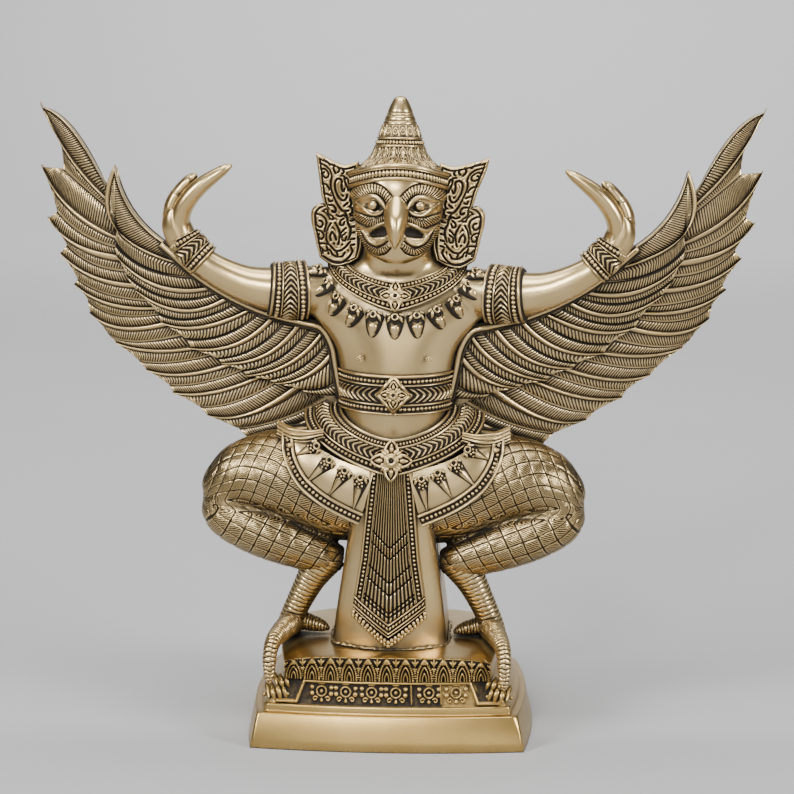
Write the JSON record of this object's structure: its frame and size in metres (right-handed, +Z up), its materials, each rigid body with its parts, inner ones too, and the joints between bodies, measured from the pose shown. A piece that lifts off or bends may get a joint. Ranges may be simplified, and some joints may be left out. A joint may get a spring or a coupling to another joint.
{
  "type": "garuda figure",
  "caption": "Cast brass garuda: a crowned, beaked figure squatting with spread wings and raised hands, in collar, sash and apron, fixed on a stepped plinth.",
  "frame": {"origin": "centre of the plinth's underside", "axes": "+Z up, the figure's front faces -Y, +X is to the right of someone who looks at its front"},
  "size_m": [0.355, 0.1142, 0.3048],
  "materials": {
    "figure_brass": "polished, with dark patina in the recesses",
    "plinth_brass": "satin, with dark patina in the recesses"
  },
  "bodies": {
    "root": {"figure": "figure_brass", "plinth": "plinth_brass"}
  },
  "joints": []
}
